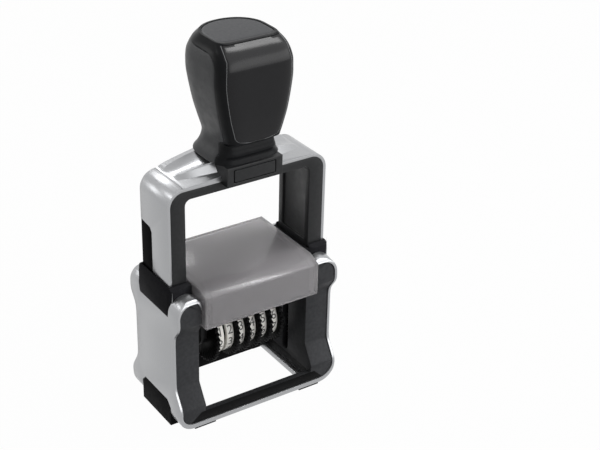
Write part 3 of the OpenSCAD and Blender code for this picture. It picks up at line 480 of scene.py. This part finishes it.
def through_knots(column, z):
    """Smooth curve through the knots."""
    i = 0
    while i + 2 < len(KNOTS) and z >= KNOTS[i + 1][0]:
        i += 1
    a, b = KNOTS[i], KNOTS[i + 1]
    h = b[0] - a[0]
    t = (z - a[0]) / h
    return ((2 * t ** 3 - 3 * t ** 2 + 1) * a[column] + (t ** 3 - 2 * t ** 2 + t) * h * knot_slope(column, i)
            + (3 * t ** 2 - 2 * t ** 3) * b[column] + (t ** 3 - t ** 2) * h * knot_slope(column, i + 1))


def section_power(z, front):
    """How square the handle's section is at a height, in front or at the back."""
    if front:
        return toward(FOOT_POWER, FRONT_POWER, min(1.0, z / NECK_Z))
    return toward(REAR_POWER, TOP_POWER, max(0.0, 1 - (HANDLE_H - z) / CAP_H))


def handle_point(z, turn, inset=0.0):
    """Point of the handle's surface at a height, in a direction, set in from the surface."""
    c, s = math.cos(turn), math.sin(turn)
    half = through_knots(1, z) - inset
    deep = through_knots(2 if s < 0 else 3, z) - inset
    power = section_power(z, s < 0)
    reach = (abs(c / half) ** power + abs(s / deep) ** power) ** (-1 / power)
    return (reach * c, reach * s, HANDLE_Z0 + z)


def turn_at_y(z, y):
    """Direction of the point on the right side at a depth."""
    deep = through_knots(2 if y < 0 else 3, z)
    power = section_power(z, y < 0)
    x = through_knots(1, z) * max(0.0, 1 - abs(y / deep) ** power) ** (1 / power)
    return math.atan2(y, x)


def turn_at_x(z, x):
    """Direction of the point on the front at a distance to the right."""
    power = section_power(z, True)
    y = -through_knots(2, z) * max(0.0, 1 - abs(x / through_knots(1, z)) ** power) ** (1 / power)
    return math.atan2(y, x)


def parting_y(z):
    """Depth of the line between front shell and grip, which turns into the cap's lower edge."""
    y = FRONT_SHELL_D - through_knots(2, min(z, GRIP_Z))
    rise = max(0.0, min(z, GRIP_Z) - GRIP_Z + PARTING_R)
    return y + PARTING_R - math.sqrt(PARTING_R ** 2 - rise ** 2)


def panel_half(z, gap=0.0):
    """Half width of the glossy panel at a height."""
    half = through_knots(1, z) - PANEL_RIM * min(1.0, (HANDLE_H - z) / CAP_H + PANEL_RIM_LEAST)
    below = max(0.0, PANEL_CORNER - max(0.0, z - PANEL_Z))
    return half - gap - PANEL_CORNER + math.sqrt(PANEL_CORNER ** 2 - below ** 2)


def bowed(z, share):
    """Height of a row near the panel's lower edge, which hangs lower in the middle."""
    return z - PANEL_BOW * share * max(0.0, 1 - abs(z - PANEL_Z) / BOW_FADE)


def middle_share(k):
    """How far a column of the panel lies towards the middle, from 0 to 1."""
    return 1 - ((k - FRONT_COLS) / FRONT_COLS) ** 2


def shell_columns(z):
    """Directions along the front from right to left, with the panel's edges doubled for its recess."""
    edge = turn_at_y(min(z, GRIP_Z), parting_y(z))
    panel = turn_at_x(z, panel_half(max(z, PANEL_Z)))
    right = [(toward(edge, panel, k / STRIP_COLS), False, 0.0) for k in range(STRIP_COLS + 1)]
    left = [(-math.pi - turn, False, 0.0) for turn, _, _ in reversed(right)]
    across = [(toward(panel, -math.pi - panel, k / (2 * FRONT_COLS)), True, middle_share(k))
              for k in range(2 * FRONT_COLS + 1)]
    return right + across + left


def steps(a, b, count):
    """Evenly spaced values after a, up to b."""
    return [toward(a, b, (k + 1) / count) for k in range(count)]


def make_handle_shell():
    """Front shell and cap in one skin with a recess for the panel and one for the inlay."""
    rows = [(z, False) for z in [0.0] + steps(0.0, PANEL_Z, NECK_ROWS)]
    rows += [(z, True) for z in [PANEL_Z] + steps(PANEL_Z, CORNER_Z, CORNER_ROWS)]
    rows += [(z, True) for z in steps(CORNER_Z, GRIP_Z, FRONT_ROWS) + steps(GRIP_Z, PANEL_TOP, CAP_ROWS)]
    rows += [(PANEL_TOP, False), (HANDLE_H, False)]
    verts, faces, lines = [], [], []
    edge = turn_at_y(GRIP_Z, parting_y(GRIP_Z))
    rear = steps(-math.pi - edge, edge - 2 * math.pi, REAR_COLS)[:-1]
    for z, sunk in rows:
        line = []
        for turn, inside, share in shell_columns(z):
            line.append(len(verts))
            verts.append(handle_point(bowed(z, share), turn, PANEL_SINK if sunk and inside else 0.0))
        if z >= GRIP_Z - SAME_HEIGHT:
            for turn in rear:
                line.append(len(verts))
                verts.append(handle_point(z, turn))
        lines.append(line)
    top_turns = [turn for turn, _, _ in shell_columns(HANDLE_H)] + rear
    for drop in (0.0, INLAY_T):
        line = []
        for turn in top_turns:
            line.append(len(verts))
            verts.append(handle_point(HANDLE_H, turn, INLAY_RIM)[:2] + (HANDLE_TOP - drop,))
        lines.append(line)
    for lower, upper in zip(lines, lines[1:]):
        count = min(len(lower), len(upper))
        ring = count > len(shell_columns(0.0))
        for j in range(count if ring else count - 1):
            k = (j + 1) % count
            faces.append((lower[j], upper[j], upper[k], lower[k]))
    faces.append(tuple(reversed(lines[-1])))
    return verts, faces


def plate(outer, inner):
    """A closed plate between two grids of points."""
    rows, cols = len(outer), len(outer[0])
    verts = [p for row in outer for p in row] + [p for row in inner for p in row]
    back = rows * cols
    faces = []
    for r in range(rows - 1):
        for c in range(cols - 1):
            a, b = r * cols + c, (r + 1) * cols + c
            faces.append((a, b, b + 1, a + 1))
            faces.append((back + a, back + a + 1, back + b + 1, back + b))
    for r in range(rows - 1):
        a, b = r * cols, (r + 1) * cols
        faces.append((a, back + a, back + b, b))
        a, b = a + cols - 1, b + cols - 1
        faces.append((a, b, back + b, back + a))
    for c in range(cols - 1):
        faces.append((c, c + 1, back + c + 1, back + c))
        a = (rows - 1) * cols + c
        faces.append((a, back + a, back + a + 1, a + 1))
    return verts, faces


def grip_grid(inset):
    """Rear and sides of the handle, up to the cap."""
    grid = []
    for z in [0.0] + steps(0.0, PANEL_Z, GRIP_NECK_ROWS) + steps(PANEL_Z, GRIP_Z - SEAM, GRIP_ROWS):
        edge = turn_at_y(z, parting_y(z) + SEAM)
        turns = [toward(math.pi - edge, edge, k / REAR_COLS) for k in range(REAR_COLS + 1)]
        grid.append([handle_point(z, turn, inset) for turn in turns])
    return grid


def panel_heights(gap, corner_rows):
    """Heights of the panel's rows, from a gap above its recess's lower edge to its top."""
    first = PANEL_Z + gap
    return [first] + steps(first, CORNER_Z, corner_rows) + steps(CORNER_Z, PANEL_TOP - SEAM, PANEL_ROWS)


def panel_grid(inset):
    """Glossy panel in the front shell's recess."""
    grid = []
    for z in panel_heights(HIGHLIGHT_STRIP_W, CORNER_ROWS):
        edge = turn_at_x(z, panel_half(z, HIGHLIGHT_STRIP_W))
        row = []
        for k in range(2 * FRONT_COLS + 1):
            turn = toward(edge, -math.pi - edge, k / (2 * FRONT_COLS))
            row.append(handle_point(bowed(z, middle_share(k)), turn, inset))
        grid.append(row)
    return grid


def trim_grid(inset):
    """Light grey strip round the panel's sides and lower edge, a painted highlight on the panel's edge: outer
    path, then inner path, from right to left.
    """
    grid = []
    for gap in (HIGHLIGHT_STRIP_OUTER_GAP, HIGHLIGHT_STRIP_W - HIGHLIGHT_STRIP_INNER_GAP):
        heights = panel_heights(gap, HIGHLIGHT_STRIP_CORNER_ROWS)
        right = [(z, turn_at_x(z, panel_half(z, gap))) for z in reversed(heights)]
        lowest, end = right[-1]
        below = [(bowed(lowest, middle_share(k)), toward(end, -math.pi - end, k / (2 * FRONT_COLS)))
                 for k in range(1, 2 * FRONT_COLS)]
        left = [(z, -math.pi - turn) for z, turn in reversed(right)]
        grid.append([handle_point(z, turn, inset) for z, turn in right + below + left])
    return grid


shell = add_piece("handle_shell_skin", *make_handle_shell(), "handle_gloss", "bracket")
wall = shell.modifiers.new("wall", "SOLIDIFY")
wall.thickness = WALL * MM
wall.offset = -1
soften(shell, SHELL_EDGE)
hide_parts("handle_shell")
grip = add_piece("handle_grip_skin", *plate(grip_grid(0.0), grip_grid(WALL)), "grip_soft", "bracket")
soften(grip, GRIP_EDGE)
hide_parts("handle_grip")
panel_plate = plate(panel_grid(0.0), panel_grid(PANEL_SINK - PANEL_BED))
panel = add_piece("handle_panel_plate", *panel_plate, "panel_gloss", "bracket")
soften(panel, PANEL_EDGE)
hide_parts("handle_panel")
# Light grey of the strip round the panel: a painted highlight on the panel's edge
painted_highlight_grey = finish("panel_painted_highlight", (0.13, 0.132, 0.137), mottle=0.1, mottle_mm=2.0,
                   rough=0.3, rough_spread=0.03, grain_mm=0.5, grain_depth=0.006, grain=0.2)
highlight_strip_plate = plate(trim_grid(0.0), trim_grid(HIGHLIGHT_STRIP_T))
highlight_strip = add_piece("handle_panel_painted_highlight", *highlight_strip_plate, "panel_gloss", "bracket", painted_highlight_grey)
soften(highlight_strip, 0)


def tube_faces(rings, sides):
    """Faces of a tube of rings, one after another, that is closed at both ends."""
    faces = []
    for r in range(rings - 1):
        a, b = r * sides, (r + 1) * sides
        for j in range(sides):
            m = (j + 1) % sides
            faces.append((a + j, b + j, b + m, a + m))
    faces.append(tuple(range(sides)))
    faces.append(tuple(reversed(range((rings - 1) * sides, rings * sides))))
    return faces


def make_inlay():
    """Satin D-shaped inlay in the top, slightly domed."""
    verts = []
    for inset, drop in ((0.0, INLAY_T - INLAY_BED),) + INLAY_DOME:
        for k in range(INLAY_COLS):
            x, y, _ = handle_point(HANDLE_H, -2 * math.pi * k / INLAY_COLS, INLAY_RIM + SEAM + inset)
            verts.append((x, y, HANDLE_TOP - drop))
    return verts, tube_faces(len(INLAY_DOME) + 1, INLAY_COLS)


inlay = add_piece("handle_inlay_plate", *make_inlay(), "inlay_satin", "bracket")
soften(inlay, INLAY_EDGE)
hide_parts("handle_inlay")


# Crowns: each crease has depth shares and rises, both at the saddle and at the corner, and a curve's power
CROWN_STEPS = 44
CROWN_FOOT = 0.16
DISH_STEPS = 10
FRONT_EDGE = (-1.0, -1.0, 1.0, 0.02, 1.0)
LEAF_FOOT = (-0.74, -0.3, 1.5, 0.02, 1.2)
LEAF_TOP = (-0.54, -0.06, 4.3, 0.03, 0.9)
GROOVE = (-0.51, -0.03, 3.7, 0.02, 0.9)
DISH_EDGE = (-0.48, 0.0, 4.5, 0.03, 0.9)
DISH_FLOOR = (0.1, 0.35, 3.7, 0.02, 1.7)
RIDGE = (0.6, 0.64, 5.0, 0.03, 0.62)
BACK_EDGE = (1.0, 1.0, 3.7, 0.03, 0.75)


def crease_point(crease, t):
    """Depth share and rise of a crease, from the saddle to the bracket's corner."""
    y0, y1, rise0, rise1, power = crease
    left = 1 - t
    if left < CROWN_FOOT:
        w = left / CROWN_FOOT
        share = CROWN_FOOT ** power * (3 * w ** 2 - 2 * w ** 3 + power * (w ** 3 - w ** 2))
    else:
        share = left ** power
    return toward(y0, y1, t), toward(rise1, rise0, share)


def crown_profile(t):
    """Points across a crown, from front to back."""
    profile = [crease_point(crease, t) for crease in (FRONT_EDGE, LEAF_FOOT, LEAF_TOP, GROOVE)]
    edge, floor, ridge = [crease_point(crease, t) for crease in (DISH_EDGE, DISH_FLOOR, RIDGE)]
    for k in range(DISH_STEPS + 1):
        share = k / DISH_STEPS
        first = [toward(a, b, share) for a, b in zip(edge, floor)]
        second = [toward(a, b, share) for a, b in zip(floor, ridge)]
        profile.append([toward(a, b, share) for a, b in zip(first, second)])
    return profile + [crease_point(BACK_EDGE, t)]


def make_crown(name):
    """Creased silver crown in the place of the plain one."""
    a, b = low(name), high(name)
    side = -1 if a[0] < 0 else 1
    near, far = sorted((a[0], b[0]), key=abs)
    top, bottom = [], []
    for i in range(CROWN_STEPS + 1):
        t = i / CROWN_STEPS
        profile = crown_profile(t)[::side]
        x = toward(near, far, t)
        top.append([(x, y * b[1], a[2] + rise) for y, rise in profile])
        bottom.append([(x, y * b[1], a[2]) for y, rise in profile])
    return plate(top, bottom)


for name in ("left_crown", "right_crown"):
    crown = add_piece(name + "_top", *make_crown(name), "silver_shell", "bracket")
    soften(crown, 0, group=crease_shading)
    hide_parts(name)


# Figures
BANDS = range(1, 7)
GLYPH_SAME_POINT = 1e-5
GLYPH_HALF = 0.5
GLYPH_CURVE_STEPS = 5
GLYPH_CUTS = 8


def figure_mesh(character, cuts):
    """A closed figure of unit height about the origin, cut across so that it can bend round a ring."""
    curve = bpy.data.curves.new("figure", "FONT")
    curve.body = character
    curve.extrude = GLYPH_HALF
    curve.resolution_u = GLYPH_CURVE_STEPS
    holder = bpy.data.objects.new("figure", curve)
    bpy.context.scene.collection.objects.link(holder)
    bpy.context.view_layer.update()
    flat = bpy.data.meshes.new_from_object(holder.evaluated_get(bpy.context.evaluated_depsgraph_get()))
    built = bmesh.new()
    built.from_mesh(flat)
    bpy.data.objects.remove(holder)
    bpy.data.meshes.remove(flat)
    bpy.data.curves.remove(curve)
    bmesh.ops.remove_doubles(built, verts=built.verts, dist=GLYPH_SAME_POINT)
    xs = [v.co.x for v in built.verts]
    ys = [v.co.y for v in built.verts]
    tall = max(ys) - min(ys)
    middle = Vector(((max(xs) + min(xs)) / 2, (max(ys) + min(ys)) / 2, 0))
    for v in built.verts:
        flat_place = (v.co - middle) / tall
        v.co = (flat_place.x, flat_place.y, v.co.z)
    for k in range(1, cuts):
        whole = built.verts[:] + built.edges[:] + built.faces[:]
        bmesh.ops.bisect_plane(built, geom=whole, plane_co=(0, k / cuts - GLYPH_HALF, 0), plane_no=(0, 1, 0))
    bmesh.ops.triangulate(built, faces=built.faces)
    built.verts.index_update()
    verts = [v.co.copy() for v in built.verts]
    faces = [tuple(v.index for v in f.verts) for f in built.faces]
    built.free()
    return verts, faces


RING_PLACES = 12
RING_FIGURE_H = 3.5
RING_FIGURE_W = 0.92
RING_FIGURE_T = 0.09
RING_START = 19
glyphs = {c: figure_mesh(c, GLYPH_CUTS) for c in "0123456789"}


def make_ring_figures(i):
    """The figures round one white ring, upright as seen from the front."""
    ring = "figure_ring_%d" % i
    x0, _, z0 = centre(ring)
    ring_r = high(ring)[2] - z0
    verts, faces = [], []
    for k in range(len(glyphs)):
        first = len(verts)
        glyph, glyph_faces = glyphs[str((k + i) % len(glyphs))]
        middle = math.radians(RING_START) - 2 * math.pi * k / RING_PLACES
        for p in glyph:
            turn = middle + p.y * RING_FIGURE_H / ring_r
            r = ring_r + p.z * RING_FIGURE_T
            x = x0 + p.x * RING_FIGURE_H * RING_FIGURE_W
            verts.append((x, -r * math.cos(turn), z0 + r * math.sin(turn)))
        faces += [tuple(first + v for v in face) for face in glyph_faces]
    return verts, faces


for i in BANDS:
    add_piece("ring_figures_%d" % i, *make_ring_figures(i), "figure_white", "wheel_%d" % i, ink_grey)


# Number bands: a strap over the bridge and down to the ring, with a raised, mirrored figure
BAND_T = 1.0
NOSE_R = 1.5
FACE_D = 4.4
TYPE_H = 0.8
TYPE_ROOT = 0.05
TYPE_MARGIN = 0.5
TYPE_WIDTH_SHARE = 0.96
RING_R = 9.6
STRAP_GAP = 0.36
STRAP_END_R = RING_R + STRAP_GAP
STRAP_CUT_STEP = 0.01
STRAP_EDGE = 0.15
STRAP_COLS = 4
FACE_ROWS = 4
NOSE_ROWS = 8
LEG_ROWS = 10
WHEEL_Z = centre("figure_ring_1")[2]
TYPE_TOP = high("number_band_1")[2]
NOSE_Y = FACE_D / 2
NOSE_Z = TYPE_TOP - TYPE_H - BAND_T - NOSE_R


def strap_line(offset):
    """One side of the strap from the middle of the face to the ring, offset from the bridge."""
    r0 = NOSE_R + offset
    r1 = RING_R - BAND_T + offset
    dy, dz = -NOSE_Y, WHEEL_Z - NOSE_Z
    turn = math.acos((r0 - r1) / math.hypot(dy, dz)) + math.atan2(dz, dy)
    line = [(NOSE_Y * k / FACE_ROWS, NOSE_Z + r0) for k in range(FACE_ROWS)]
    for k in range(NOSE_ROWS + 1):
        a = toward(math.pi / 2, turn, k / NOSE_ROWS)
        line.append((NOSE_Y + r0 * math.cos(a), NOSE_Z + r0 * math.sin(a)))
    near_y, near_z = line[-1]
    far_y, far_z = r1 * math.cos(turn), WHEEL_Z + r1 * math.sin(turn)
    share = 1.0
    while math.hypot(toward(near_y, far_y, share), toward(near_z, far_z, share) - WHEEL_Z) < STRAP_END_R:
        share -= STRAP_CUT_STEP
    for k in range(1, LEG_ROWS + 1):
        along = share * k / LEG_ROWS
        line.append((toward(near_y, far_y, along), toward(near_z, far_z, along)))
    return line


def make_strap(i):
    """A closed strap over the bridge and down to the ring, in front and at the back."""
    band = "number_band_%d" % i
    across = [toward(high(band)[0], low(band)[0], k / STRAP_COLS) for k in range(STRAP_COLS + 1)]
    grids = []
    for offset in (BAND_T, 0.0):
        half_line = strap_line(offset)
        line = [(-y, z) for y, z in reversed(half_line[1:])] + half_line
        grids.append([[(x, y, z) for x in across] for y, z in line])
    return plate(*grids)


def make_type(i):
    """The raised figure that prints, mirrored so that it reads on paper."""
    band = "number_band_%d" % i
    x0 = centre(band)[0]
    band_w = high(band)[0] - low(band)[0]
    foot = TYPE_TOP - TYPE_H - TYPE_ROOT
    glyph, glyph_faces = glyphs[str(i)]
    tall = FACE_D - TYPE_MARGIN
    wide = min(tall, TYPE_WIDTH_SHARE * band_w / (2 * max(abs(p.x) for p in glyph)))
    verts = [(x0 + p.x * wide, -p.y * tall, toward(foot, TYPE_TOP, p.z + GLYPH_HALF)) for p in glyph]
    return verts, [tuple(reversed(face)) for face in glyph_faces]


for i in BANDS:
    strap = add_piece("band_strap_%d" % i, *make_strap(i), "band_rubber", "print_unit")
    soften(strap, STRAP_EDGE)
    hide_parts("number_band_%d" % i)
    add_piece("band_type_%d" % i, *make_type(i), "band_rubber", "print_unit")


# Ink pad: felt that is flat against the tray and crowned towards the type
PAD_CROWN = 0.5
PAD_ROUND = 1.3
PAD_ROUND_SHARE = 0.6
PAD_PULL = 0.35
PAD_COLS = 72
PAD_ROWS = 36


def make_pad():
    """A closed pad whose sides pull in between its corners."""
    lowest, highest = low("ink_pad"), high("ink_pad")
    half = [(highest[k] - lowest[k]) / 2 for k in range(2)]
    grids = []
    for under in (True, False):
        grid = []
        for r in range(PAD_ROWS + 1):
            row = []
            for c in range(PAD_COLS + 1):
                u = 2 * c / PAD_COLS - 1
                v = 2 * r / PAD_ROWS - 1
                x = u * (half[0] - PAD_PULL * (1 - v * v))
                y = v * (half[1] - PAD_PULL * (1 - u * u))
                z = highest[2]
                if under:
                    edge = min(half[0] * (1 - abs(u)), half[1] * (1 - abs(v)), PAD_ROUND)
                    z = lowest[2] + PAD_CROWN * (1 - (1 - u ** 4) * (1 - v ** 4))
                    dip = PAD_ROUND - math.sqrt(PAD_ROUND ** 2 - (PAD_ROUND - edge) ** 2)
                    z += PAD_ROUND_SHARE * dip
                row.append((x, y, z))
            grid.append(row)
        grids.append(grid)
    return plate(*grids)


pad = add_piece("ink_pad_felt", *make_pad(), "ink_felt", "cartridge")
soften(pad, 0)
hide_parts("ink_pad")


# Return springs
SPRING_R = 2.0
SPRING_WIRE = 0.6
SPRING_TURNS = 16
TURN_STEPS = 28
WIRE_SIDES = 10


def make_spring(node):
    """A helix of round wire in the CAD spring's place."""
    x0, y0, _ = centre(node)
    z0 = low(node)[2] + SPRING_WIRE / 2
    rise = high(node)[2] - low(node)[2] - SPRING_WIRE
    rings = SPRING_TURNS * TURN_STEPS
    verts = []
    for k in range(rings + 1):
        turn = 2 * math.pi * k / TURN_STEPS
        for j in range(WIRE_SIDES):
            a = 2 * math.pi * j / WIRE_SIDES
            r = SPRING_R + SPRING_WIRE / 2 * math.cos(a)
            z = z0 + rise * k / rings + SPRING_WIRE / 2 * math.sin(a)
            verts.append((x0 + r * math.cos(turn), y0 + r * math.sin(turn), z))
    return verts, tube_faces(rings + 1, WIRE_SIDES)


for side in ("left", "right"):
    node = side + "_return_spring"
    spring = add_piece(side + "_spring_wire", *make_spring(node), "steel", "base")
    soften(spring, 0)
    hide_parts(node)
    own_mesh(spring)


# Floor, world and lamps
def seen_directly(tree):
    """1 for rays that see the background itself, in a mirror or through glass."""
    path = tree.nodes.new("ShaderNodeLightPath")
    either = tree.nodes.new("ShaderNodeMath")
    either.operation = "MAXIMUM"
    linked(tree, path.outputs["Is Camera Ray"], either.inputs[0])
    linked(tree, path.outputs["Is Glossy Ray"], either.inputs[1])
    any_of = tree.nodes.new("ShaderNodeMath")
    any_of.operation = "MAXIMUM"
    linked(tree, either.outputs[0], any_of.inputs[0])
    linked(tree, path.outputs["Is Transmission Ray"], any_of.inputs[1])
    return any_of.outputs[0]


AMBIENT = 0.14
FLOOR_GLOW = 0.98
FLOOR_HALF = 3.0
FLOOR_GREY = (0.4, 0.4, 0.4, 1)
world = bpy.data.worlds.new("studio")
bpy.context.scene.world = world
world.use_nodes = True
sky = world.node_tree
background = sky.nodes["Background"]
background.inputs["Color"].default_value = (1, 1, 1, 1)
level = sky.nodes.new("ShaderNodeMapRange")
level.inputs["To Min"].default_value = AMBIENT
level.inputs["To Max"].default_value = 1.0
linked(sky, seen_directly(sky), level.inputs["Value"])
linked(sky, level.outputs["Result"], background.inputs["Strength"])

floor_paper = bpy.data.materials.new("floor_paper")
floor_paper.use_nodes = True
tree = floor_paper.node_tree
paper = tree.nodes["Principled BSDF"]
paper.inputs["Base Color"].default_value = FLOOR_GREY
paper.inputs["Roughness"].default_value = 0.9
paper.inputs["Specular IOR Level"].default_value = 0.0
glow = tree.nodes.new("ShaderNodeEmission")
share = tree.nodes.new("ShaderNodeMath")
share.operation = "MULTIPLY"
share.inputs[1].default_value = FLOOR_GLOW
linked(tree, seen_directly(tree), share.inputs[0])
both = tree.nodes.new("ShaderNodeMixShader")
linked(tree, share.outputs[0], both.inputs[0])
linked(tree, paper.outputs[0], both.inputs[1])
linked(tree, glow.outputs[0], both.inputs[2])
linked(tree, both.outputs[0], tree.nodes["Material Output"].inputs["Surface"])
floor_mesh = bpy.data.meshes.new("floor")
corners = [(-FLOOR_HALF, -FLOOR_HALF, 0), (FLOOR_HALF, -FLOOR_HALF, 0), (FLOOR_HALF, FLOOR_HALF, 0),
           (-FLOOR_HALF, FLOOR_HALF, 0)]
floor_mesh.from_pydata(corners, [], [(0, 1, 2, 3)])
floor_mesh.materials.append(floor_paper)
floor = bpy.data.objects.new("floor", floor_mesh)
bpy.context.scene.collection.objects.link(floor)


def lamp(name, place, aim, size, watts):
    """A soft rectangular lamp that points at a place."""
    data = bpy.data.lights.new(name, "AREA")
    data.shape = "RECTANGLE"
    data.size, data.size_y = size
    data.energy = watts
    light = bpy.data.objects.new(name, data)
    light.location = place
    light.rotation_euler = (Vector(aim) - Vector(place)).to_track_quat("-Z", "Y").to_euler()
    bpy.context.scene.collection.objects.link(light)


lamp("key_lamp", place=(0.42, -0.5, 0.8), aim=(0, 0, 0.08), size=(1.5, 1.5), watts=9.6)
lamp("fill_lamp", place=(0.5, -0.85, 0.3), aim=(0, 0, 0.04), size=(1.4, 0.55), watts=4.4)
lamp("top_lamp", place=(0.38, -0.02, 0.93), aim=(0, 0, 0.08), size=(0.18, 0.5), watts=3.4)
lamp("back_lamp", place=(0.07, 0.8, 0.66), aim=(0, 0, 0.09), size=(0.4, 0.2), watts=1.8)
lamp("low_lamp", place=(-0.6, 0.8, 0.22), aim=(0, 0, 0.09), size=(0.2, 0.26), watts=0.6)
lamp("left_lamp", place=(-0.62, 0.42, 0.62), aim=(0, 0, 0.06), size=(0.22, 0.22), watts=0.6)

bpy.context.scene.view_settings.view_transform = "Standard"
